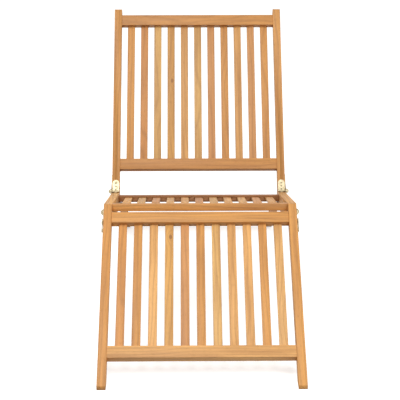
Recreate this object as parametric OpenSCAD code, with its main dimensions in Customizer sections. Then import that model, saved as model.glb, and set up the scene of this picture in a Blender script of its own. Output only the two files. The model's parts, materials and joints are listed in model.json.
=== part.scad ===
// Folding teak sun lounger: a slatted leg panel, seat and backrest joined by brass hinges, on hinged rear legs.
// X runs across the lounger, +Y runs from the feet towards the head, +Z is up.
// The origin is on the floor, in the middle of the lounger's length and width.

/* [Overall] */
// Width over the outer faces of the stiles
frame_w = 600; // [520:5:720]
// Thickness of every stile, measured across the lounger
stile_w = 26; // [25:1:32]
// Height of the short upright faces that blunt the front toes
toe_h = 13; // [10:1:20]

/* [Leg panel] */
// Slope of the leg panel above the floor, in degrees
leg_slope = 32.6; // [28:0.2:38]
// Length of a leg stile's upper face, from toe to knee
leg_len = 648; // [600:1:700]
// Depth of a leg stile, square to its upper face
leg_d = 36; // [32:1:42]
// Distance from the knee to the leg panel's top rail
leg_rail_top = 29; // [26:1:45]
// Distance from the knee to the far edge of the leg panel's bottom rail
leg_rail_bottom = 553; // [480:1:570]

/* [Seat] */
// Fall of the seat from knee to hip, in degrees
seat_slope = 15.5; // [11:0.5:18]
// Distance along the seat from the knee to the front face of the backrest
seat_len = 488; // [450:1:540]
// Depth of a seat side rail, square to the seat
seat_d = 54; // [54:1:64]
// Distance from the knee to the seat's front rail
front_rail_gap = 6; // [4:1:20]
// Distance from the seat's rear rail to the backrest
rear_rail_gap = 28; // [20:1:45]
// Depth of the front rail's top below the side rails
front_rail_set = 1; // [0.5:0.5:4]
// Depth of the rear rail's top below the side rails
rear_rail_set = 5.5; // [5:0.5:8]
// Depth of the seat slats below the side rails
seat_slat_set = 12; // [11:0.5:13]
// How far a side rail runs on behind the back stile
seat_tail = 10; // [4:1:30]

/* [Backrest] */
// Slope of the backrest above level, in degrees
back_slope = 50; // [44:0.5:58]
// Length of a back stile's front face
back_len = 713; // [640:1:760]
// Depth of a back stile, square to its front face
back_d = 36; // [32:1:42]
// Distance from the hip to the backrest's bottom rail
back_rail_bottom = 88; // [80:1:110]
// Length of stile that stands above the backrest's top rail
back_horn = 25; // [15:1:40]
// Radius on the corners of the stiles' free ends
end_r = 8; // [4:1:12]

/* [Rear legs] */
// Thickness of a rear leg, across the lounger
rear_w = 22; // [20:1:26]
// Thickness of a rear leg in the side view
rear_t = 22; // [20:1:23]
// Gap between a rear leg and its side rail
rear_side_gap = 1.5; // [1:0.5:3]
// Distance from the backrest forward to the rear legs' pivots
rear_pivot_in = 33; // [30:1:45]
// Depth of the rear legs' pivots below the seat's upper plane
rear_pivot_d = 42; // [42:1:44]
// Distance on the floor from below the hip back to the rear feet
rear_reach = 290; // [270:1:340]
// Height of the short upright faces that blunt the heels
heel_h = 8; // [5:1:12]
// Distance up a rear leg from the floor to the rung
rung_up = 40; // [35:1:90]
// Width of the rung along the legs
rung_w = 30; // [20:1:40]
// Thickness of the rung
rung_t = 16; // [14:1:18]
// Distance along a rear leg from its pivot to the stop bolt
stop_reach = 50; // [44:1:56]

/* [Rails and slats] */
// Width of every cross rail
rail_w = 40; // [34:1:46]
// Thickness of every cross rail
rail_t = 22; // [21:1:23]
// How far a rail of the leg panel or backrest lies under the stiles' faces
rail_set = 2; // [1:0.5:4]
// Number of slats in each panel
slat_n = 11; // [9:1:11]
// Width of a slat
slat_w = 26; // [20:1:30]
// Thickness of a slat
slat_t = 8; // [6:1:9]
// How far a slat of the leg panel or backrest lies under the rails' faces
slat_set = 12; // [8:1:12]
// Length of slat that is housed in each rail
slat_tongue = 10; // [5:1:14]
// Length of a rail's tenon
tenon_len = 12; // [8:1:13]
// Shoulder around a rail's tenon
tenon_shoulder = 5; // [4:0.5:6]

/* [Brass] */
// Thickness of the hinge leaves and straps
leaf_t = 2; // [1.5:0.5:2.5]
// Outer radius of the hip hinges' knuckles
knuckle_r = 4; // [3.5:0.5:5]
// Radius of the hinge pins
pin_r = 2; // [1.5:0.5:2.5]
// Width of a hip hinge
hip_leaf_w = 23; // [18:1:23]
// Distance from the hip to the round end of a back leaf
hip_leaf_end = 46; // [44:1:66]
// Distance from the hip to the end of a seat leaf
seat_leaf_end = 34; // [28:1:35]
// Half width of a strap
strap_r = 8; // [7:1:9]
// Radius of a screw's head
screw_head_r = 3.2; // [2.5:0.1:3.5]
// Radius of a screw's shank
screw_r = 1.6; // [1.2:0.1:1.8]
// Length of a screw
screw_len = 12; // [10:1:12]
// Radius of the rear legs' bolts
bolt_r = 4; // [3:0.5:5]
// Radius of the rear legs' bolt heads
bolt_head_r = 9; // [7:0.5:11]
// Height of the rear legs' bolt heads
bolt_head_h = 4; // [3:0.5:6]
// Width of a nut over its corners
nut_w = 16; // [14:1:20]
// Height of a nut
nut_h = 6; // [4:0.5:8]
// Radius of the caps on the hinge pins
cap_r = 8; // [5:0.5:8]
// Height of the caps on the knee pivots
knee_cap_h = 3; // [2:0.5:8]
// Radius of the domed bolts that hold the seat's knee straps
stud_cap_r = 10; // [6:0.5:12]
// Height of the domed bolts that hold the seat's knee straps
stud_cap_h = 8; // [3:0.5:9]
// Height of the caps on the hip pins
hip_cap_h = 9; // [3:0.5:10]

/* [Fits] */
// Gap between a moving piece and the stop that it rests on
stop_gap = 0.4; // [0.3:0.1:0.6]
// Clearance round a tenon, a slat's tongue, a leaf or a screw
wood_fit = 0.1; // [0.05:0.05:0.2]
// Radial clearance of a pin or bolt
pin_fit = 0.05; // [0.02:0.01:0.1]
// Side clearance between knuckles, straps, nuts and what they pass
side_fit = 0.4; // [0.3:0.1:0.6]

/* [Hidden] */
teak = [0.80, 0.58, 0.34];
brass = [0.80, 0.70, 0.42];
side_w = frame_w / 2;
inner_w = frame_w - 2 * stile_w;
gap_w = (inner_w - slat_n * slat_w) / (slat_n + 1);
rear_in = inner_w / 2 - rear_side_gap - rear_w;

// Points are [y, z] in the side view, with the front toe's foot at [0, 0]. Angles are above level
function along(a) = [cos(a), sin(a)];
function face_up(a) = [-sin(a), cos(a)];
function cross_of(u, v) = u[0] * v[1] - u[1] * v[0];

// The point at distance s along a face that starts at p, and at depth d under it
function under(p, a, s, d) = p + s * along(a) - d * face_up(a);

// Where the line through p at angle a meets the line through q at angle b
function meet(p, a, q, b) = p + along(a) * cross_of(q - p, along(b)) / cross_of(along(a), along(b));

knee = [0, toe_h] + leg_len * along(leg_slope);
hip = under(knee, -seat_slope, seat_len, 0);

// The leg stile's end is square to the seat and stands against the seat rail's end
leg_back = under(knee, leg_slope, 0, leg_d);
leg_end_low = meet(leg_back, leg_slope, knee, 90 - seat_slope);
leg_sole = meet(leg_back, leg_slope, [0, 0], 0);

// The back stile's foot is parallel to the seat and stands on the seat rail
foot_plane = under(hip, -seat_slope, 0, -stop_gap);
back_face_low = meet(hip, back_slope, foot_plane, -seat_slope);
back_rear_low = meet(under(hip, back_slope, 0, back_d), back_slope, foot_plane, -seat_slope);
seat_end = (back_rear_low - knee) * along(-seat_slope) + seat_tail;

// The backrest's rearmost point is on the upper corner's round
back_corner = under(hip, back_slope, back_len - end_r, back_d - end_r);
mid_y = (back_corner[0] + end_r) / 2;

// Rear legs
rear_pivot = under(hip, -seat_slope, -rear_pivot_in, rear_pivot_d);
rear_floor = [hip[0] + rear_reach, 0];
rear_run = rear_floor - rear_pivot;
rear_len = norm(rear_run);
rear_fall = -atan2(rear_run[1], rear_run[0]);
rear_stop = under(rear_pivot, -rear_fall, stop_reach, -(rear_t / 2 + bolt_r + stop_gap));
heel_y = rear_floor[0] + rear_t / 2 / sin(rear_fall) - heel_h / tan(rear_fall);

// Hinge pins: the hip pins lie in front of the backrest and above the seat rail.
// The knee bolts lie behind the leg stile and under the seat rail
pin_off = knuckle_r + stop_gap;
hip_pin = meet(under(hip, -seat_slope, 0, -pin_off), -seat_slope, under(hip, back_slope, 0, -pin_off), back_slope);
knee_pin = meet(under(knee, -seat_slope, 0, seat_d + pin_off), -seat_slope,
    under(knee, leg_slope, 0, leg_d + pin_off), leg_slope);
hip_pin_u = (hip_pin - hip) * along(back_slope);
hip_pin_s = (hip_pin - hip) * along(-seat_slope);
hip_x = side_w - stile_w / 2;
third = hip_leaf_w / 3;
back_leaf_u = hip_pin_u + knuckle_r + side_fit;
seat_leaf_s = hip_pin_s + knuckle_r + side_fit;

// The straps lie on the stiles' outer faces, those of the leg over those of the seat
strap_x = side_w + side_fit;
leg_strap_x = strap_x + leaf_t + side_fit;
knee_stud = under(knee, -seat_slope, 2 * strap_r, seat_d / 2);
knee_seat_screw = under(knee_stud, -seat_slope, 4 * strap_r, 0);
knee_leg_screws = [for (k = [0:1]) under(knee, leg_slope, -(6.5 + 4.5 * k) * strap_r, leg_d / 2)];
hip_screws = [for (k = [0:1]) under(hip, back_slope, (4 + 4 * k) * strap_r, back_d / 2)];
boss_r = screw_head_r + leaf_t;
knee_head_r = knuckle_r - stop_gap;

// Extrudes a side-view outline from x0 to x1, on the side s of the lounger
module board(s, x0, x1) {
    translate([s > 0 ? x0 : -x1, -mid_y, 0]) rotate([90, 0, 90]) linear_extrude(x1 - x0) children();
}

// Puts children in a panel's own frame: +Y along the panel, +Z out of its face
module on_panel(p, a) {
    translate([0, p[0] - mid_y, p[1]]) rotate([a, 0, 0]) children();
}

// Turns children so that +Z points outwards on side s, at distance x from the middle
module outwards(s, p, x) {
    translate([s * x, p[0] - mid_y, p[1]]) rotate([0, s * 90, 0]) children();
}

module both_sides() {
    for ($s = [-1, 1]) children();
}

// A board that lies in a panel's frame, from y0 to y1 and from depth d0 to d1
module plank(x0, x1, y0, y1, d0, d1) {
    translate([x0, y0, -d1]) cube([x1 - x0, y1 - y0, d1 - d0]);
}

// The tenons of a cross rail whose face is at depth top, grown for the mortises
module tenons(y0, top, grow) {
    e = tenon_shoulder - grow;
    plank(-inner_w / 2 - tenon_len - grow, inner_w / 2 + tenon_len + grow,
        y0 + e, y0 + rail_w - e, top + e, top + rail_t - e);
}

function slat_x(i) = -inner_w / 2 + gap_w * i + slat_w * (i - 1);

// A slat between two rails, with a tongue at each end
module slat(i, top, y_a, y_b, grow = 0) {
    plank(slat_x(i) - grow, slat_x(i) + slat_w + grow, y_a - slat_tongue - grow, y_b + slat_tongue + grow,
        top - grow, top + slat_t + grow);
}

// A cross rail with tenons, housed for the slats that run from y_a to y_b at depth slat_top
module cross_rail(y0, top, slat_top, y_a, y_b) {
    difference() {
        union() {
            plank(-inner_w / 2, inner_w / 2, y0, y0 + rail_w, top, top + rail_t);
            tenons(y0, top, 0);
        }
        for (i = [1:slat_n]) slat(i, slat_top, y_a, y_b, wood_fit);
    }
}

// A countersunk screw whose head is flush with z = 0, and the hole for it
module screw(grow = 0) {
    translate([0, 0, -leaf_t]) cylinder(h = leaf_t, r1 = screw_r + grow, r2 = screw_head_r + grow, $fn = 48);
    translate([0, 0, -screw_len - grow]) cylinder(h = screw_len - leaf_t + 2 * grow, r = screw_r + grow, $fn = 32);
}

// A shallow dome that stands on z = 0
module dome(r, h) {
    ball_r = (r * r + h * h) / (2 * h);
    rotate_extrude($fn = 96) intersection() {
        square([r, h]);
        translate([0, h - ball_r]) circle(ball_r, $fn = 128);
    }
}

// A flat bar with round ends, drawn in the side view
module bar(p, q, r) {
    translate(p) rotate(atan2(q[1] - p[1], q[0] - p[0])) union() {
        translate([0, -r]) square([norm(q - p), 2 * r]);
        circle(r, $fn = 64);
        translate([norm(q - p), 0]) circle(r, $fn = 64);
    }
}

module on_leg() {
    on_panel(knee, leg_slope) children();
}

module on_seat() {
    on_panel(knee, -seat_slope) children();
}

module on_hip() {
    on_panel(hip, -seat_slope) children();
}

module on_back() {
    on_panel(hip, back_slope) children();
}

module on_rear_leg() {
    on_panel(rear_pivot, -rear_fall) children();
}

leg_rail_a = -leg_rail_bottom;
leg_rail_b = -leg_rail_top - rail_w;
seat_rail_a = front_rail_gap;
seat_rail_b = seat_len - rear_rail_gap - rail_w;
back_rail_a = back_rail_bottom;
back_rail_b = back_len - back_horn - rail_w;

module leg_tenons(grow) {
    tenons(leg_rail_a, rail_set, grow);
    tenons(leg_rail_b, rail_set, grow);
}

module back_tenons(grow) {
    tenons(back_rail_a, rail_set, grow);
    tenons(back_rail_b, rail_set, grow);
}

module seat_tenons(grow) {
    tenons(seat_rail_a, front_rail_set, grow);
    tenons(seat_rail_b, rear_rail_set, grow);
}

module leg_rail(y0) {
    color(teak) on_leg() cross_rail(y0, rail_set, rail_set + slat_set, leg_rail_a + rail_w, leg_rail_b);
}

module back_rail(y0) {
    color(teak) on_back() cross_rail(y0, rail_set, rail_set + slat_set, back_rail_a + rail_w, back_rail_b);
}

module seat_cross_rail(y0, top) {
    color(teak) on_seat() cross_rail(y0, top, seat_slat_set, seat_rail_a + rail_w, seat_rail_b);
}

// Screws of each panel, on side s
module at_back_leaf_screws(s) {
    span = hip_leaf_end - hip_leaf_w / 2 - back_leaf_u;
    on_back() for (k = [0:2]) translate([s * hip_x, back_leaf_u + span * (0.15 + 0.42 * k), leaf_t]) children();
}

module at_seat_leaf_screws(s) {
    span = seat_leaf_end - seat_leaf_s;
    on_hip() for (k = [0.25, 0.75]) translate([s * hip_x, seat_leaf_s + span * k, 0]) children();
}

module back_screw_set(s, grow = 0) {
    at_back_leaf_screws(s) screw(grow);
    for (p = hip_screws) outwards(s, p, strap_x + leaf_t) screw(grow);
}

module seat_screw_set(s, grow = 0) {
    at_seat_leaf_screws(s) screw(grow);
    outwards(s, knee_seat_screw, strap_x + leaf_t) screw(grow);
}

module leg_screw_set(s, grow = 0) {
    for (p = knee_leg_screws) outwards(s, p, leg_strap_x + leaf_t) screw(grow);
}

module leg_stile(s) {
    color(teak) difference() {
        board(s, side_w - stile_w, side_w) polygon([[0, 0], [0, toe_h], knee, leg_end_low, leg_sole]);
        on_leg() leg_tenons(wood_fit);
        leg_screw_set(s, wood_fit);
    }
}

// The seat rail's free end has rounded corners, and its top is let in for the hip hinge's leaf
module seat_rail(s) {
    color(teak) difference() {
        board(s, side_w - stile_w, side_w) translate(knee) rotate(-seat_slope) union() {
            translate([stop_gap, -seat_d]) square([seat_end - end_r - stop_gap, seat_d]);
            translate([stop_gap, end_r - seat_d]) square([seat_end - stop_gap, seat_d - 2 * end_r]);
            for (d = [end_r, seat_d - end_r]) translate([seat_end - end_r, -d]) circle(end_r, $fn = 64);
        }
        on_seat() seat_tenons(wood_fit);
        seat_screw_set(s, wood_fit);
        seat_leaf_plate(s, wood_fit);
        for (p = [rear_pivot, rear_stop]) outwards(s, p, 0) cylinder(h = frame_w, r = bolt_r + pin_fit, $fn = 64);
        outwards(s, knee_stud, 0) cylinder(h = frame_w, r = pin_r + pin_fit, $fn = 48);
    }
}

module back_stile(s) {
    foot_front = (back_face_low - hip) * along(back_slope);
    foot_rear = (back_rear_low - hip) * along(back_slope);
    round_at = back_len - end_r;
    color(teak) difference() {
        board(s, side_w - stile_w, side_w) translate(hip) rotate(back_slope) intersection() {
            polygon([[2 * foot_front - foot_rear, back_d], [2 * back_len, back_d],
                [2 * back_len, -2 * back_d], [2 * foot_rear - foot_front, -2 * back_d]]);
            union() {
                translate([0, -back_d]) square([round_at, back_d]);
                translate([0, end_r - back_d]) square([back_len, back_d - 2 * end_r]);
                for (d = [end_r, back_d - end_r]) translate([round_at, -d]) circle(end_r, $fn = 64);
            }
        }
        on_back() back_tenons(wood_fit);
        back_screw_set(s, wood_fit);
    }
}

// A rear leg has a round head on its pivot, a flat sole on the floor and a blunt heel
module rear_leg(s) {
    color(teak) difference() {
        board(s, rear_in, rear_in + rear_w) intersection() {
            bar(rear_pivot, rear_pivot + (rear_len + rear_t / sin(rear_fall)) * along(-rear_fall), rear_t / 2);
            square([heel_y, knee[1]]);
        }
        on_rear_leg() rung_tenons(wood_fit);
        outwards(s, rear_pivot, 0) cylinder(h = frame_w, r = bolt_r + pin_fit, $fn = 64);
    }
}

rung_y = rear_len - rung_up - rung_w;

module rung_tenons(grow) {
    reach = rear_in + tenon_len + grow;
    plank(-reach, reach, rung_y + tenon_shoulder - grow, rung_y + rung_w - tenon_shoulder + grow,
        tenon_shoulder - rung_t / 2 - grow, rung_t / 2 - tenon_shoulder + grow);
}

module rear_leg_rung() {
    color(teak) on_rear_leg() union() {
        plank(-rear_in, rear_in, rung_y, rung_y + rung_w, -rung_t / 2, rung_t / 2);
        rung_tenons(0);
    }
}

// A bolt with a domed head outside, a shank through rail and leg, and a nut inside
module rear_leg_bolt(s, p) {
    reach = nut_h + side_fit + bolt_r / 2;
    outwards(s, p, side_w) {
        dome(bolt_head_r, bolt_head_h);
        translate([0, 0, rear_in - reach - side_w]) cylinder(h = side_w + reach - rear_in, r = bolt_r, $fn = 64);
    }
}

module rear_leg_nut(s, p) {
    outwards(s, p, rear_in - side_fit - nut_h) difference() {
        cylinder(h = nut_h, r = nut_w / 2, $fn = 6);
        translate([0, 0, -1]) cylinder(h = nut_h + 2, r = bolt_r + pin_fit, $fn = 64);
    }
}

// A hip hinge's knuckle, from x_a to x_b beside the hinge's middle
module knuckle(s, x_a, x_b) {
    outwards(1, hip_pin, s * hip_x + x_a) cylinder(h = x_b - x_a, r = knuckle_r, $fn = 64);
}

module hip_pin_bore(s) {
    outwards(s, hip_pin, 0) cylinder(h = frame_w, r = pin_r + pin_fit, $fn = 48);
}

// The back leaf has a round end and the two outer knuckles
module hip_back_leaf(s) {
    r = hip_leaf_w / 2;
    outer = r - third / 2 - side_fit;
    color(brass) difference() {
        union() {
            on_back() translate([s * hip_x, 0, 0]) linear_extrude(leaf_t) union() {
                translate([-r, back_leaf_u]) square([hip_leaf_w, hip_leaf_end - r - back_leaf_u]);
                translate([0, hip_leaf_end - r]) circle(r, $fn = 64);
                for (x = [-r, r - outer])
                    translate([x, hip_pin_u]) square([outer, back_leaf_u - hip_pin_u + side_fit]);
            }
            for (x = [-r, r - outer]) knuckle(s, x, x + outer);
        }
        back_screw_set(s, wood_fit);
        hip_pin_bore(s);
    }
}

// The seat leaf is let into the rail under the backrest's foot, and holds the middle knuckle
module seat_leaf_plate(s, grow) {
    r = hip_leaf_w / 2;
    on_hip() translate([s * hip_x, 0, -leaf_t - grow]) {
        translate([-r - grow, seat_leaf_s - grow, 0])
            cube([hip_leaf_w + 2 * grow, seat_leaf_end - seat_leaf_s + 2 * grow, leaf_t + 2 * grow]);
        translate([-third / 2 - grow, hip_pin_s - knuckle_r - grow, 0])
            cube([third + 2 * grow, seat_leaf_s - hip_pin_s + knuckle_r + side_fit, leaf_t + 2 * grow]);
    }
}

module hip_seat_leaf(s) {
    color(brass) difference() {
        union() {
            seat_leaf_plate(s, 0);
            knuckle(s, -third / 2, third / 2);
            on_hip() translate([s * hip_x - third / 2, hip_pin_s - knuckle_r, -leaf_t])
                cube([third, knuckle_r, leaf_t + pin_off]);
        }
        seat_screw_set(s, wood_fit);
        hip_pin_bore(s);
    }
}

module hip_hinge_pin(s) {
    shoulder = strap_x + leaf_t + side_fit;
    inner = hip_x - hip_leaf_w / 2;
    color(brass) outwards(s, hip_pin, shoulder) {
        dome(cap_r, hip_cap_h);
        translate([0, 0, inner - shoulder]) cylinder(h = shoulder - inner, r = pin_r, $fn = 48);
    }
}

// The strap on a back stile's outer face ends in an eye round the hip pin
module hip_strap(s) {
    color(brass) difference() {
        board(s, strap_x, strap_x + leaf_t) union() {
            bar(hip_pin, hip_screws[0], strap_r);
            bar(hip_screws[0], hip_screws[1], strap_r);
        }
        back_screw_set(s, wood_fit);
        hip_pin_bore(s);
    }
}

module knee_bore(s) {
    outwards(s, knee_pin, 0) cylinder(h = frame_w, r = pin_r + pin_fit, $fn = 48);
}

module knee_strap_seat(s) {
    color(brass) difference() {
        board(s, strap_x, strap_x + leaf_t) union() {
            bar(knee_pin, knee_stud, strap_r);
            bar(knee_stud, knee_seat_screw, strap_r);
        }
        seat_screw_set(s, wood_fit);
        knee_bore(s);
        outwards(s, knee_stud, 0) cylinder(h = frame_w, r = pin_r + pin_fit, $fn = 48);
    }
}

// The leg's strap stands on two bosses, clear of the seat's strap
module knee_strap_leg(s) {
    color(brass) difference() {
        union() {
            board(s, leg_strap_x, leg_strap_x + leaf_t) union() {
                bar(knee_pin, knee_leg_screws[0], strap_r);
                bar(knee_leg_screws[0], knee_leg_screws[1], strap_r);
            }
            for (p = knee_leg_screws) outwards(s, p, side_w) cylinder(h = leg_strap_x - side_w, r = boss_r, $fn = 48);
        }
        leg_screw_set(s, wood_fit);
        knee_bore(s);
    }
}

// Two domed bolts at each knee: one is the hinge's pivot, the other holds the seat's strap to the rail
module knee_bolt_pair(s) {
    pivot_x = leg_strap_x + leaf_t + side_fit;
    head_x = side_w - leaf_t;
    color(brass) {
        outwards(s, knee_pin, head_x) {
            cylinder(h = leaf_t, r = knee_head_r, $fn = 48);
            cylinder(h = pivot_x - head_x, r = pin_r, $fn = 48);
            translate([0, 0, pivot_x - head_x]) dome(cap_r, knee_cap_h);
        }
        outwards(s, knee_stud, side_w - stile_w) {
            cylinder(h = strap_x + leaf_t + stile_w - side_w, r = pin_r, $fn = 48);
            translate([0, 0, strap_x + leaf_t + stile_w - side_w]) dome(stud_cap_r, stud_cap_h);
        }
    }
}

seat_rail(-1);  // seat_rail_left
seat_rail(1);  // seat_rail_right
seat_cross_rail(seat_rail_a, front_rail_set);  // seat_front_rail
seat_cross_rail(seat_rail_b, rear_rail_set);  // seat_rear_rail
back_stile(-1);  // back_stile_left
back_stile(1);  // back_stile_right
back_rail(back_rail_b);  // back_top_rail
back_rail(back_rail_a);  // back_bottom_rail
leg_stile(-1);  // leg_stile_left
leg_stile(1);  // leg_stile_right
leg_rail(leg_rail_b);  // leg_top_rail
leg_rail(leg_rail_a);  // leg_bottom_rail
rear_leg(-1);  // rear_leg_left
rear_leg(1);  // rear_leg_right
rear_leg_rung();
color(brass) both_sides() for (p = [rear_pivot, rear_stop]) rear_leg_bolt($s, p);  // rear_leg_bolts
color(brass) both_sides() for (p = [rear_pivot, rear_stop]) rear_leg_nut($s, p);  // rear_leg_nuts
both_sides() hip_back_leaf($s);  // hip_hinge_back_leaves
both_sides() hip_seat_leaf($s);  // hip_hinge_seat_leaves
both_sides() hip_hinge_pin($s);  // hip_hinge_pins
both_sides() hip_strap($s);  // hip_straps
both_sides() knee_strap_seat($s);  // knee_straps_seat
both_sides() knee_strap_leg($s);  // knee_straps_leg
both_sides() knee_bolt_pair($s);  // knee_bolts
color(brass) both_sides() back_screw_set($s);  // back_screws
color(brass) both_sides() seat_screw_set($s);  // seat_screws
color(brass) both_sides() leg_screw_set($s);  // leg_screws
for (i = [1:slat_n]) {
    color(teak) on_seat() slat(i, seat_slat_set, seat_rail_a + rail_w, seat_rail_b);
    color(teak) on_back() slat(i, rail_set + slat_set, back_rail_a + rail_w, back_rail_b);
    color(teak) on_leg() slat(i, rail_set + slat_set, leg_rail_a + rail_w, leg_rail_b);
}
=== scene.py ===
"""A folding teak sun lounger, finished in oiled teak and pale brass."""

import json
import math
import random
from collections import namedtuple

import bmesh
import bpy
from mathutils import Matrix, Vector


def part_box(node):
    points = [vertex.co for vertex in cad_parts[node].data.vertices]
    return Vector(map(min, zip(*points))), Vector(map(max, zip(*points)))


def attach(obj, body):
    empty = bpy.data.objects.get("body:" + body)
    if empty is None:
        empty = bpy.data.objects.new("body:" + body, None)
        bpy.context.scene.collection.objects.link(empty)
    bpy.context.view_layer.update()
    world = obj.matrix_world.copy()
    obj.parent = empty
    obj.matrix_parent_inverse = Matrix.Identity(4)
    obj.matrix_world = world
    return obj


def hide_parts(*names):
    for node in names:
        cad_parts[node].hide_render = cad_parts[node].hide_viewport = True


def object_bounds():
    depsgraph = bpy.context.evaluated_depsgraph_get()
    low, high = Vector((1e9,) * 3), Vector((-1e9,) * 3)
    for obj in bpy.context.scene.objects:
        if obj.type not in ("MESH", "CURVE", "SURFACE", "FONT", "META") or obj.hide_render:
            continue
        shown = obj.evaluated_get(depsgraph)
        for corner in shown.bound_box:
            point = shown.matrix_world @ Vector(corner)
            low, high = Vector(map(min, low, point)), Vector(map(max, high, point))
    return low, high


bl_info = {
    "name": "Teak Sun Lounger",
    "version": (1, 0, 0),
    "blender": (4, 5, 0),
    "location": "View3D > Sidebar > Lounger",
    "description": "Finishes a folding slatted teak lounger and sets up its studio",
    "category": "Object",
}

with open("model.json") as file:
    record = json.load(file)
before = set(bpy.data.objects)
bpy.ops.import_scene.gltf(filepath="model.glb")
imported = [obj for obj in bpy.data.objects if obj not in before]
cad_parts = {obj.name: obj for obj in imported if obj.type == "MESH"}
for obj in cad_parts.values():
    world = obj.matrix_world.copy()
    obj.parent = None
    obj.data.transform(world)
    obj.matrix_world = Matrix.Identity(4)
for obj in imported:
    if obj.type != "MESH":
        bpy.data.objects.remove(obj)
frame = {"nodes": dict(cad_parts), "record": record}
CAD_BOX = [list(corner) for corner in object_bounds()]
WHITE = (1.0, 1.0, 1.0, 1.0)

# A panel's slope above level in degrees, and the share of the teak's full tone that its boards have; the
# backrest's smaller share is painted shade, for the dimmer light on its steeper face
PanelLook = namedtuple("PanelLook", "slope depth")
PANELS = {
    "leg": PanelLook(32.6, 1.0),
    "seat": PanelLook(-15.5, 1.0),
    "back": PanelLook(50.0, 0.87),
    "rear": PanelLook(-31.0, 1.0),
}
# The kind of board that each slat is cut from, starting at the left when the lounger is seen from its toes
SLAT_BOARDS = {
    "leg": (
        "red", "golden", "light", "knotty", "rosy", "golden",
        "olive", "light", "light", "golden", "pale",
    ),
    "seat": (
        "light", "olive", "rosy", "pale", "light", "rosy",
        "olive", "light", "pale", "rosy", "light",
    ),
    "back": (
        "golden", "red", "olive", "knotty", "light", "olive",
        "rosy", "golden", "light", "rosy", "golden",
    ),
}
# Each cross rail: the panel that it belongs to, its node and its kind of board
RAILS = (
    ("leg", "leg_top_rail", "golden"),
    ("leg", "leg_bottom_rail", "light"),
    ("seat", "seat_front_rail", "flame"),
    # The seat's rear rail is a darker board with painted shade on it, for the shade that falls under the
    # seat slats
    ("seat", "seat_rear_rail", "heart"),
    ("back", "back_top_rail", "golden"),
    ("back", "back_bottom_rail", "golden"),
    ("rear", "rear_leg_rung", "golden"),
)
# Each pair of long boards: its panel, what its nodes' names start with and its kind of board
STILES = (
    ("leg", "leg_stile_", "golden"),
    ("seat", "seat_rail_", "light"),
    ("back", "back_stile_", "golden"),
    ("rear", "rear_leg_", "golden"),
)

# How far up its slat a panel's knot lies, as a share of the slat's length, and how far off the slat's middle
# line it lies in metres
KNOT_PLACES = {
    "leg": 0.87,
    "back": 0.58,
}
KNOT_OFF_MIDDLE = 0.004
# A knot's width as a share of its length, the growth bands that it turns aside, and how fast they return
KNOT_ROUNDNESS = 0.55
KNOT_SWIRL = 3.0
KNOT_RECOVERY = 0.35

# A layer of the teak's figure: features in a metre along the grain and across it, and the noise's settings
Layer = namedtuple("Layer", "along across detail roughness")
DRIFT = Layer(1.7, 7.0, 2.0, 0.5)
STREAKS = Layer(2.4, 85.0, 3.0, 0.6)
CLOUDS = Layer(3.2, 22.0, 2.0, 0.5)
FIBRES = Layer(14.0, 620.0, 3.0, 0.65)
PORES = Layer(60.0, 1500.0, 1.0, 0.5)
# What a board draws: where its figure starts, how its growth bands lean in degrees and how far they wander,
# and how far its tone may move towards the second colour of its kind
FIGURE_START = (0.0, 50.0)
BAND_LEAN = (20.0, 70.0)
BAND_WANDER = (5.0, 9.0)
TONE_SPREAD = (0.0, 0.2)
# How narrow the late wood is in a growth band, and the parts that streaks and clouds have in the figure
LATE_WOOD_POWER = 4.0
STREAK_WEIGHT = 2.2
CLOUD_WEIGHT = 2.0
FIGURE_MIDDLE = 0.38
# Where each layer's marks begin and where they are full
PORE_EDGE = (0.6, 0.7)
FIBRE_EDGE = (0.35, 0.75)
KNOT_EDGE = (0.7, 1.2)
# A mark on the teak: how strongly it is laid on, and how much lighter or darker it is than its ground
Mark = namedtuple("Mark", "strength tone")
LATE_WOOD = Mark(0.45, 0.58)
FIBRE = Mark(0.25, 1.25)
PORE = Mark(0.4, 0.42)
KNOT = Mark(0.75, 0.45)
# The tones of a board's pale and brown figure, how far the brown leans to red, and the tone of a dark board
# with painted shade
PALE_GROUND = 1.06
BROWN_GROUND = 0.74
BROWN_TO_RED = 0.55
DARK_BOARD_AND_PAINTED_SHADE = 0.42

# The brass's clouds and rubbing marks in a metre, where the clouds begin and are full, how strong they are,
# and the share of the full tone that the screws have
BRASS_CLOUDS = 90.0
BRASS_RUBS = (2600.0, 420.0, 420.0)
TARNISH_EDGE = (0.45, 0.75)
TARNISH_STRENGTH = 0.75
SCREW_TONE = 0.5

# Points nearer than this are one point, and faces that turn less than this are one flat
SAME_POINT = 1e-6
FLAT_ANGLE = math.radians(0.5)
# An edge that turns more than the first of these is eased, and more than the second is a crease on brass
EASED_ANGLE = math.radians(25.0)
CREASE_ANGLE = math.radians(28.0)

# A screw's outline in head radii and metres below its face, and its cross recess in head radii
SCREW_SIDES = 32
SCREW_OUTLINE = ((0.94, 0.0), (1.0, 0.00015), (0.5, 0.002), (0.5, 0.012))
CROSS_REACH = 0.55
CROSS_HALF_WIDTH = 0.14
CROSS_TAPER = 0.7
CROSS_DEPTH = 0.35

# A lamp: its place, the side of its square and its share of the key lamp's power
Lamp = namedtuple("Lamp", "place side share")
LAMPS = {
    "key_lamp": Lamp((-1.2, -1.6, 4.9), 2.6, 1.0),
    "fill_lamp": Lamp((2.6, -2.8, 3.0), 2.2, 0.45),
}
LAMPS_AIM = Vector((0.0, 0.0, 0.35))
SENSOR_WIDTH = 36.0
FLOOR_HALF = 14.0


def body_of_node(node):
    """The name of the CAD body that holds a node."""
    for body, nodes in frame["record"]["behaviour"]["bodies"].items():
        if node in nodes:
            return body
    raise ValueError(f"no body holds {node}")


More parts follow.
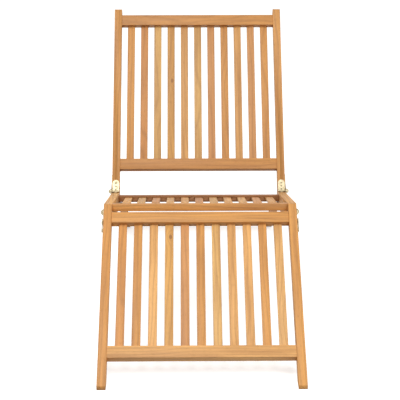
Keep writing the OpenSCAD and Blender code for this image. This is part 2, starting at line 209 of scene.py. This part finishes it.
class Field:
    """A value in a material. Arithmetic on it adds Math nodes."""

    def __init__(self, paint, socket):
        self.paint = paint
        self.socket = socket

    def math(self, operation, *values, clamp=False):
        settings = {"operation": operation, "use_clamp": clamp}
        return self.paint.out("ShaderNodeMath", settings, dict(enumerate(values)))

    def __add__(self, other):
        return self.math("ADD", self, other)

    __radd__ = __add__

    def __sub__(self, other):
        return self.math("SUBTRACT", self, other)

    def __rsub__(self, other):
        return self.math("SUBTRACT", other, self)

    def __mul__(self, other):
        return self.math("MULTIPLY", self, other)

    __rmul__ = __mul__

    def __truediv__(self, other):
        return self.math("DIVIDE", self, other)

    def __rtruediv__(self, other):
        return self.math("DIVIDE", other, self)

    def __pow__(self, other):
        return self.math("POWER", self, other)

    def sine(self):
        return self.math("SINE", self)

    def clamped(self):
        return self.math("ADD", self, 0.0, clamp=True)

    def or_more(self, other):
        return self.math("MAXIMUM", self, other)

    def step(self, low, high):
        """0 below low, 1 above high and smooth between them."""
        inputs = {"Value": self, "From Min": low, "From Max": high}
        return self.paint.out("ShaderNodeMapRange", {"interpolation_type": "SMOOTHSTEP"}, inputs)


class Paint:
    """The nodes of a new material or world, and the one method that adds any node to them."""

    def __init__(self, owner, output="ShaderNodeOutputMaterial"):
        owner.use_nodes = True
        self.owner = owner
        self.tree = owner.node_tree
        self.tree.nodes.clear()
        self.output = self.node(output)

    def node(self, kind, settings=None, inputs=None):
        made = self.tree.nodes.new(kind)
        for name, value in (settings or {}).items():
            setattr(made, name, value)
        for name, value in (inputs or {}).items():
            socket = made.inputs[name]
            if isinstance(value, Field):
                self.tree.links.new(value.socket, socket)
            else:
                socket.default_value = value
        return made

    def out(self, kind, settings=None, inputs=None, output=0):
        return Field(self, self.node(kind, settings, inputs).outputs[output])

    def place(self):
        """The point's place in metres, in the object's own frame."""
        return self.out("ShaderNodeTexCoord", output=3)

    def vector(self, x, y, z):
        return self.out("ShaderNodeCombineXYZ", None, {0: x, 1: y, 2: z})

    def noise(self, vector, detail, roughness=0.5):
        inputs = {"Vector": vector, "Scale": 1.0, "Detail": detail, "Roughness": roughness}
        return self.out("ShaderNodeTexNoise", {"noise_dimensions": "3D"}, inputs)

    def mix(self, factor, first, second):
        """A colour from first at factor 0 to second at factor 1."""
        inputs = {"Factor": factor, 6: first, 7: second}
        return self.out("ShaderNodeMix", {"data_type": "RGBA"}, inputs, output=2)

    def bump(self, height, distance, strength):
        inputs = {"Height": height, "Distance": distance, "Strength": strength}
        return self.out("ShaderNodeBump", None, inputs)

    def seen(self):
        """1 for rays from the eye, mirrored or through glass too, and 0 for light's other bounces."""
        path = self.node("ShaderNodeLightPath")
        names = ("Is Camera Ray", "Is Glossy Ray", "Is Transmission Ray")
        camera, glossy, transmission = (Field(self, path.outputs[name]) for name in names)
        return camera.or_more(glossy).or_more(transmission)

    def finish(self, shader):
        """Ends the nodes in a shader, and returns the material or world."""
        self.tree.links.new(shader.socket, self.output.inputs["Surface"])
        return self.owner

    def surface(self, inputs):
        return self.finish(self.out("ShaderNodeBsdfPrincipled", None, inputs))


def shade(colour, factor):
    """A colour made darker or lighter, with alpha 1."""
    return tuple(min(1.0, part * factor) for part in colour[:3]) + (1.0,)


def blend_colour(first, second, share):
    """A colour that lies a share of the way from first to second, with alpha 1."""
    return tuple(a + (b - a) * share for a, b in zip(first[:3], second[:3])) + (1.0,)


def grain_axes(paint, slope, across):
    """Metres along the grain, over the board's face and through its thickness."""
    inputs = {"Vector": paint.place(), "Rotation": (-math.radians(slope), 0.0, 0.0)}
    turned = paint.out("ShaderNodeMapping", {"vector_type": "POINT"}, inputs)
    split = paint.node("ShaderNodeSeparateXYZ", None, {0: turned})
    x, y, z = (Field(paint, split.outputs[k]) for k in range(3))
    if across:
        return x, y, z
    return y, x, z


def grain_layer(paint, axes, layer, start):
    """Noise drawn out along the grain, from a start of its own."""
    run, face, deep = axes
    place = paint.vector(run * layer.along + start, face * layer.across, deep * layer.across)
    return paint.noise(place, layer.detail, layer.roughness)


def board_tone(kind, wood, draw):
    """The ground colour of a board of one kind, a little different in each board."""
    tones = {
        "golden": (wood.golden, wood.red, 0.10),
        "knotty": (wood.golden, wood.olive, 0.25),
        "light": (wood.light, wood.golden, 0.35),
        "pale": (wood.light, wood.olive, 0.10),
        "olive": (wood.olive, wood.light, 0.35),
        "red": (wood.red, wood.golden, 0.35),
        "rosy": (wood.red, wood.light, 0.25),
        "flame": (wood.red, wood.golden, 0.75),
        # A dark red board with painted shade on it, for the shade that falls under the seat slats
        "heart": (shade(wood.red, DARK_BOARD_AND_PAINTED_SHADE), wood.red, 0.0),
    }
    first, second, share = tones[kind]
    return blend_colour(first, second, share + draw.uniform(*TONE_SPREAD))


def knot_reach(run, face, middle, radius):
    """Distance from a knot's middle, in knot radii. A knot is longer along the grain."""
    ahead = (run - middle[0]) / (radius / KNOT_ROUNDNESS)
    aside = (face - middle[1]) / radius
    return (ahead * ahead + aside * aside) ** 0.5


def teak_material(name, panel, across, wood, draw, kind, knot=None):
    """Oiled teak with its own tone, growth bands, streaks and pores, and a knot where one is given."""
    paint = Paint(bpy.data.materials.new(name))
    axes = grain_axes(paint, PANELS[panel].slope, across)
    run, face, deep = axes
    start = draw.uniform(*FIGURE_START)
    lean = math.radians(draw.uniform(*BAND_LEAN))
    wander = draw.uniform(*BAND_WANDER)
    drift = grain_layer(paint, axes, DRIFT, start)
    sweep = (face * math.cos(lean) + deep * math.sin(lean)) * wood.bands_per_metre + drift * wander
    if knot:
        reach = knot_reach(run, face, knot, wood.knot)
        sweep = sweep + KNOT_SWIRL / (1.0 + reach * reach * KNOT_RECOVERY)
    band = (sweep * (2 * math.pi) + start).sine() * 0.5 + 0.5
    late = band ** LATE_WOOD_POWER
    streak = grain_layer(paint, axes, STREAKS, start)
    cloud = grain_layer(paint, axes, CLOUDS, start * 2.0)
    fibre = grain_layer(paint, axes, FIBRES, start)
    pore = grain_layer(paint, axes, PORES, start).step(*PORE_EDGE)

    # The panel's share darkens the backrest's boards with painted shade
    base = shade(board_tone(kind, wood, draw), PANELS[panel].depth)
    heart = blend_colour(base, wood.red, BROWN_TO_RED)
    figure = (streak - 0.5) * STREAK_WEIGHT + (cloud - 0.5) * CLOUD_WEIGHT + FIGURE_MIDDLE
    colour = paint.mix(figure.clamped(), shade(base, PALE_GROUND), shade(heart, BROWN_GROUND))
    colour = paint.mix(late * LATE_WOOD.strength, colour, shade(heart, LATE_WOOD.tone))
    colour = paint.mix(fibre.step(*FIBRE_EDGE) * FIBRE.strength, colour, shade(base, FIBRE.tone))
    colour = paint.mix(pore * PORE.strength, colour, shade(heart, PORE.tone))
    if knot:
        core = 1.0 - reach.step(*KNOT_EDGE)
        colour = paint.mix(core * KNOT.strength, colour, shade(wood.red, KNOT.tone))
    relief = fibre * 0.6 - pore * 0.8 + late * 0.3
    return paint.surface({
        "Base Color": colour,
        "Roughness": 0.50 + (fibre - 0.5) * 0.22 + pore * 0.15,
        "Specular IOR Level": 0.35,
        "Coat Weight": 0.06,
        "Coat Roughness": 0.4,
        "Normal": paint.bump(relief, wood.relief, 0.6),
    })


def brass_material(name, metal, share=1.0):
    """Satin brass, faintly clouded, with fine rubbing marks, in a share of its full tone."""
    paint = Paint(bpy.data.materials.new(name))
    place = paint.place()
    coarse = paint.out("ShaderNodeVectorMath", {"operation": "SCALE"}, {0: place, "Scale": BRASS_CLOUDS})
    fine = paint.out("ShaderNodeVectorMath", {"operation": "MULTIPLY"}, {0: place, 1: BRASS_RUBS})
    tarnish = paint.noise(coarse, 3.0).step(*TARNISH_EDGE)
    rub = paint.noise(fine, 2.0)
    clean, clouded = shade(metal.colour, share), shade(metal.tarnish, share)
    return paint.surface({
        "Base Color": paint.mix(tarnish * TARNISH_STRENGTH, clean, clouded),
        "Metallic": 0.92,
        "Roughness": 0.42 + tarnish * 0.14 + (rub - 0.5) * 0.12,
        "Normal": paint.bump(rub, metal.relief, 0.5),
    })


def cad_shape(node):
    """The mesh of a CAD node with its flat faces whole. A left board is its right mate in a mirror."""
    mirrored = node.endswith("_left")
    source = node.replace("_left", "_right")
    shape = bmesh.new()
    shape.from_mesh(frame["nodes"][source].data)
    bmesh.ops.remove_doubles(shape, verts=shape.verts, dist=SAME_POINT)
    bmesh.ops.dissolve_limit(shape, angle_limit=FLAT_ANGLE, verts=shape.verts, edges=shape.edges)
    if mirrored:
        bmesh.ops.scale(shape, vec=(-1.0, 1.0, 1.0), verts=shape.verts)
        bmesh.ops.reverse_faces(shape, faces=shape.faces)
    return shape


def stand_for(node, shape, material):
    """Puts a finished shape in a CAD node's place, on its body."""
    mesh = bpy.data.meshes.new(node + "_finished")
    many_sided = [face for face in shape.faces if len(face.verts) > 4]
    bmesh.ops.triangulate(shape, faces=many_sided, ngon_method="EAR_CLIP")
    shape.to_mesh(mesh)
    shape.free()
    for name in ("custom_normal", "sharp_edge", "sharp_face"):
        if name in mesh.attributes:
            mesh.attributes.remove(mesh.attributes[name])
    piece = bpy.data.objects.new(node + "_piece", mesh)
    bpy.context.scene.collection.objects.link(piece)
    mesh.materials.append(material)
    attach(piece, body_of_node(node))
    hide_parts(node)
    return piece


def ease_edges(shape, radius, shortest, segments):
    """Takes the sharpness off convex edges that are longer than shortest, up to radius wide.

    The overlap limit narrows it on a whole shape where edges lie close, and the hip hinge's leaves get none.
    """
    sharp = []
    for edge in shape.edges:
        if len(edge.link_faces) == 2 and edge.calc_length() > shortest:
            if edge.calc_face_angle(0.0) > EASED_ANGLE and edge.is_convex:
                sharp.append(edge)
    bmesh.ops.bevel(
        shape, geom=sharp, offset=radius, offset_type="OFFSET", segments=segments, profile=0.5,
        affect="EDGES", clamp_overlap=True)


def finish_board(node, panel, across, wood, kind, knot=None):
    """Eases a board's long edges and gives it teak of its own."""
    draw = random.Random(node + str(wood.seed))
    shape = cad_shape(node)
    ease_edges(shape, wood.ease, 8 * wood.ease, 2)
    material = teak_material("teak_" + node, panel, across, wood, draw, kind, knot)
    stand_for(node, shape, material)


def knot_on(node, panel):
    """A knot's middle near a slat's middle line, in metres along the grain and over the face."""
    low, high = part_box(node)
    place = low.lerp(high, KNOT_PLACES[panel])
    level = Matrix.Rotation(-math.radians(PANELS[panel].slope), 3, "X")
    return (level @ Vector((0.0, place.y, place.z))).y, (low.x + high.x) / 2 + KNOT_OFF_MIDDLE


def ring(shape, radius, z, place):
    """Points round a circle in a place's XY plane, or z above it."""
    points = []
    for k in range(SCREW_SIDES):
        turn = 2 * math.pi * k / SCREW_SIDES
        point = Vector((radius * math.cos(turn), radius * math.sin(turn), z))
        points.append(shape.verts.new(place @ point))
    return points


def skin(shape, low, high):
    """Faces between two rings of as many points."""
    for k in range(len(low)):
        after = (k + 1) % len(low)
        shape.faces.new((low[k], low[after], high[after], high[k]))


def add_screw(shape, place, head):
    """A countersunk screw with a cross recess, its face in the place's XY plane and head as its radius."""
    rings = [ring(shape, head * width, -depth, place) for width, depth in SCREW_OUTLINE]
    for above, below in zip(rings, rings[1:]):
        skin(shape, below, above)
    shape.faces.new(list(reversed(rings[-1])))
    arm, half = head * CROSS_REACH, head * CROSS_HALF_WIDTH
    corners = []
    for turn in range(4):
        spin = Matrix.Rotation(turn * math.pi / 2, 3, "Z")
        corners += [spin @ Vector(p) for p in ((arm, -half, 0.0), (arm, half, 0.0), (half, half, 0.0))]
    down = Vector((0.0, 0.0, head * CROSS_DEPTH))
    rim = [shape.verts.new(place @ corner) for corner in corners]
    floor = [shape.verts.new(place @ (corner * CROSS_TAPER - down)) for corner in corners]
    skin(shape, floor, rim)
    shape.faces.new(floor)
    outline = []
    for loop in (rings[0], rim):
        for k in range(len(loop)):
            pair = (loop[k], loop[(k + 1) % len(loop)])
            outline.append(shape.edges.get(pair) or shape.edges.new(pair))
    bmesh.ops.triangle_fill(shape, edges=outline, use_beauty=True, use_dissolve=False)


def screw_places(node, draw):
    """A frame for each screw of a CAD node: its origin in the head's face and +Z out of it."""
    shape = cad_shape(node)
    for vertex in shape.verts:
        vertex.tag = False
    places = []
    for start in shape.verts:
        if start.tag:
            continue
        island, wait = set(), [start]
        while wait:
            vertex = wait.pop()
            if not vertex.tag:
                vertex.tag = True
                island.update(vertex.link_faces)
                wait.extend(edge.other_vert(vertex) for edge in vertex.link_edges)
        face = max(island, key=lambda f: f.calc_area())
        turn = face.normal.to_track_quat("Z", "Y").to_matrix().to_4x4()
        spin = Matrix.Rotation(draw.uniform(0.0, math.pi), 4, "Z")
        places.append(Matrix.Translation(face.calc_center_bounds()) @ turn @ spin)
    shape.free()
    return places


def screw_set(node, head):
    """All the screws of a CAD node in one shape, each with its cross turned its own way."""
    shape = bmesh.new()
    for place in screw_places(node, random.Random(node)):
        add_screw(shape, place, head)
    bmesh.ops.recalc_face_normals(shape, faces=shape.faces)
    return shape


class TeakSettings(bpy.types.PropertyGroup):
    """The colours and figure of the teak."""

    golden: bpy.props.FloatVectorProperty(
        name="Golden", description="Common tone of a board",
        subtype="COLOR", size=3, default=(0.720, 0.350, 0.092))
    light: bpy.props.FloatVectorProperty(
        name="Light", description="Tone of a pale board",
        subtype="COLOR", size=3, default=(0.830, 0.475, 0.185))
    red: bpy.props.FloatVectorProperty(
        name="Red", description="Tone of a reddish board",
        subtype="COLOR", size=3, default=(0.590, 0.245, 0.085))
    olive: bpy.props.FloatVectorProperty(
        name="Olive", description="Tone of an olive-tan board",
        subtype="COLOR", size=3, default=(0.640, 0.385, 0.120))
    bands_per_metre: bpy.props.FloatProperty(
        name="Growth Bands", description="Growth bands in a metre across the grain", default=95.0)
    relief: bpy.props.FloatProperty(
        name="Relief", description="Depth of the open grain", default=0.00025, unit="LENGTH")
    knot: bpy.props.FloatProperty(
        name="Knot", description="Radius of a knot across the grain", default=0.005, unit="LENGTH")
    ease: bpy.props.FloatProperty(
        name="Eased Edge", description="Most width of the eased long edges", default=0.0018, unit="LENGTH")
    seed: bpy.props.IntProperty(name="Seed", description="Picks the boards from the pile", default=3)


class BrassSettings(bpy.types.PropertyGroup):
    """The finish of the hinges, straps, bolts and screws."""

    colour: bpy.props.FloatVectorProperty(
        name="Brass", description="Clean metal",
        subtype="COLOR", size=3, default=(0.53, 0.45, 0.29))
    tarnish: bpy.props.FloatVectorProperty(
        name="Tarnish", description="Clouded metal",
        subtype="COLOR", size=3, default=(0.31, 0.26, 0.15))
    relief: bpy.props.FloatProperty(
        name="Relief", description="Depth of the rubbing marks", default=0.00005, unit="LENGTH")
    ease: bpy.props.FloatProperty(
        name="Eased Edge", description="Most width of the rubbed edges", default=0.0003, unit="LENGTH")
    screw_head: bpy.props.FloatProperty(
        name="Screw Head", description="Radius of a screw's head", default=0.0032, unit="LENGTH")


class StageSettings(bpy.types.PropertyGroup):
    """The camera, lamps and floor."""

    camera_x: bpy.props.FloatProperty(
        name="Camera Aside", description="Camera's place across the lounger",
        default=-0.044, unit="LENGTH")
    camera_back: bpy.props.FloatProperty(
        name="Camera Back", description="Camera's distance before the toes",
        default=3.548, unit="LENGTH")
    camera_up: bpy.props.FloatProperty(
        name="Camera Up", description="Camera's height above the floor",
        default=1.865, unit="LENGTH")
    down: bpy.props.FloatProperty(
        name="Tilt Down", description="Camera's angle below level",
        default=math.radians(20.0), subtype="ANGLE")
    aside: bpy.props.FloatProperty(
        name="Turn", description="Camera's turn towards +X",
        default=math.radians(0.61), subtype="ANGLE")
    lens: bpy.props.FloatProperty(
        name="Lens", description="Focal length in millimetres", default=126.0, unit="CAMERA")
    sky: bpy.props.FloatProperty(
        name="Sky", description="Strength of the light from all round", default=0.40)
    key: bpy.props.FloatProperty(
        name="Key", description="Power of the large lamp", default=142.0, unit="POWER")
    bounce: bpy.props.FloatProperty(
        name="Bounce", description="Share of the floor's tone that lights the undersides", default=0.45)
    floor_tone: bpy.props.FloatVectorProperty(
        name="Floor", description="Colour of the floor",
        subtype="COLOR", size=3, default=(0.90, 0.90, 0.89))
    floor_glow: bpy.props.FloatProperty(
        name="Floor Glow", description="White that the floor adds where the eye sees it", default=0.62)


class LOUNGER_OT_stage(bpy.types.Operator):
    """Set up the camera, the lamps, the white surround and the pale floor"""

    bl_idname = "lounger.stage"
    bl_label = "Stage"

    def execute(self, context):
        settings = context.scene.lounger_stage
        self.camera(context, settings)
        self.surround(context, settings)
        for name, lamp in LAMPS.items():
            self.lamp(context, name, lamp, settings.key)
        self.floor(context, settings)
        return {"FINISHED"}

    def camera(self, context, settings):
        toes = CAD_BOX[0][1]
        eye = bpy.data.objects.new("camera", bpy.data.cameras.new("camera"))
        eye.location = (settings.camera_x, toes - settings.camera_back, settings.camera_up)
        eye.rotation_euler = (math.pi / 2 - settings.down, 0.0, -settings.aside)
        eye.data.lens = settings.lens
        eye.data.sensor_width = SENSOR_WIDTH
        context.scene.collection.objects.link(eye)
        context.scene.camera = eye

    def surround(self, context, settings):
        paint = Paint(bpy.data.worlds.new("surround"), "ShaderNodeOutputWorld")
        strength = settings.sky + paint.seen() * (1.0 - settings.sky)
        glow = paint.out("ShaderNodeBackground", None, {"Color": WHITE, "Strength": strength})
        context.scene.world = paint.finish(glow)
        context.scene.view_settings.view_transform = "Standard"

    def lamp(self, context, name, lamp, power):
        light = bpy.data.lights.new(name, "AREA")
        light.shape = "SQUARE"
        light.size = lamp.side
        light.energy = power * lamp.share
        holder = bpy.data.objects.new(name, light)
        holder.location = lamp.place
        holder.rotation_euler = (LAMPS_AIM - Vector(lamp.place)).to_track_quat("-Z", "Y").to_euler()
        context.scene.collection.objects.link(holder)

    def floor(self, context, settings):
        half = FLOOR_HALF
        corners = [(-half, -half, 0.0), (half, -half, 0.0), (half, half, 0.0), (-half, half, 0.0)]
        mesh = bpy.data.meshes.new("floor")
        mesh.from_pydata(corners, [], [(0, 1, 2, 3)])
        ground = bpy.data.objects.new("floor", mesh)
        context.scene.collection.objects.link(ground)
        paint = Paint(bpy.data.materials.new("floor"))
        tone = shade(settings.floor_tone, 1.0)
        matt = paint.out("ShaderNodeBsdfDiffuse", None, {"Color": tone})
        glow = paint.out("ShaderNodeEmission", None, {"Color": WHITE, "Strength": settings.floor_glow})
        bright = paint.out("ShaderNodeAddShader", None, {0: matt, 1: glow})
        dim = paint.out("ShaderNodeBsdfDiffuse", None, {"Color": shade(tone, settings.bounce)})
        both = paint.out("ShaderNodeMixShader", None, {0: paint.seen(), 1: dim, 2: bright})
        mesh.materials.append(paint.finish(both))


class LOUNGER_OT_slats(bpy.types.Operator):
    """Finish the slats of the leg panel, seat and backrest, each from its own board"""

    bl_idname = "lounger.slats"
    bl_label = "Slats"

    def execute(self, context):
        for panel, boards in SLAT_BOARDS.items():
            for i, kind in enumerate(boards, 1):
                node = f"{panel}_slat_{i}"
                knot = knot_on(node, panel) if kind == "knotty" else None
                finish_board(node, panel, False, context.scene.lounger_teak, kind, knot)
        return {"FINISHED"}


class LOUNGER_OT_rails(bpy.types.Operator):
    """Finish the cross rails and the rear legs' rung, with the grain across the lounger"""

    bl_idname = "lounger.rails"
    bl_label = "Cross Rails"

    def execute(self, context):
        for panel, node, kind in RAILS:
            finish_board(node, panel, True, context.scene.lounger_teak, kind)
        return {"FINISHED"}


class LOUNGER_OT_stiles(bpy.types.Operator):
    """Finish the stiles, the seat's side rails and the rear legs"""

    bl_idname = "lounger.stiles"
    bl_label = "Stiles and Legs"

    def execute(self, context):
        for panel, stem, kind in STILES:
            for side in ("left", "right"):
                finish_board(stem + side, panel, False, context.scene.lounger_teak, kind)
        return {"FINISHED"}


class LOUNGER_OT_brass(bpy.types.Operator):
    """Finish the hinge leaves, pins, straps, bolts, nuts and screws"""

    bl_idname = "lounger.brass"
    bl_label = "Brass"

    def execute(self, context):
        brass = context.scene.lounger_brass
        plates = brass_material("brass", brass)
        screws = brass_material("brass_screws", brass, SCREW_TONE)
        for part in frame["record"]["subparts"]:
            node = part["node"]
            if part["material_slot"] != "brass":
                continue
            if node.endswith("_screws"):
                piece = stand_for(node, screw_set(node, brass.screw_head), screws)
            else:
                shape = cad_shape(node)
                ease_edges(shape, brass.ease, 0.0, 1)
                piece = stand_for(node, shape, plates)
            piece.data.shade_smooth()
            piece.data.set_sharp_from_angle(angle=CREASE_ANGLE)
        return {"FINISHED"}


class LOUNGER_PT_panel(bpy.types.Panel):
    """Lists the lounger's pieces, its stage and their settings"""

    bl_label = "Teak Lounger"
    bl_idname = "LOUNGER_PT_panel"
    bl_space_type = "VIEW_3D"
    bl_region_type = "UI"
    bl_category = "Lounger"

    def draw(self, context):
        scene = context.scene
        for operator in STEPS:
            self.layout.operator(operator.bl_idname)
        for group in (scene.lounger_teak, scene.lounger_brass, scene.lounger_stage):
            box = self.layout.box()
            for name in group.__annotations__:
                box.prop(group, name)


STEPS = (LOUNGER_OT_stage, LOUNGER_OT_slats, LOUNGER_OT_rails, LOUNGER_OT_stiles, LOUNGER_OT_brass)
CLASSES = (TeakSettings, BrassSettings, StageSettings) + STEPS + (LOUNGER_PT_panel,)


def register():
    for cls in CLASSES:
        bpy.utils.register_class(cls)
    bpy.types.Scene.lounger_teak = bpy.props.PointerProperty(type=TeakSettings)
    bpy.types.Scene.lounger_brass = bpy.props.PointerProperty(type=BrassSettings)
    bpy.types.Scene.lounger_stage = bpy.props.PointerProperty(type=StageSettings)


def unregister():
    del bpy.types.Scene.lounger_stage
    del bpy.types.Scene.lounger_brass
    del bpy.types.Scene.lounger_teak
    for cls in reversed(CLASSES):
        bpy.utils.unregister_class(cls)


def main():
    register()
    bpy.ops.lounger.stage()
    bpy.ops.lounger.slats()
    bpy.ops.lounger.rails()
    bpy.ops.lounger.stiles()
    bpy.ops.lounger.brass()


if __name__ == "__main__":
    main()
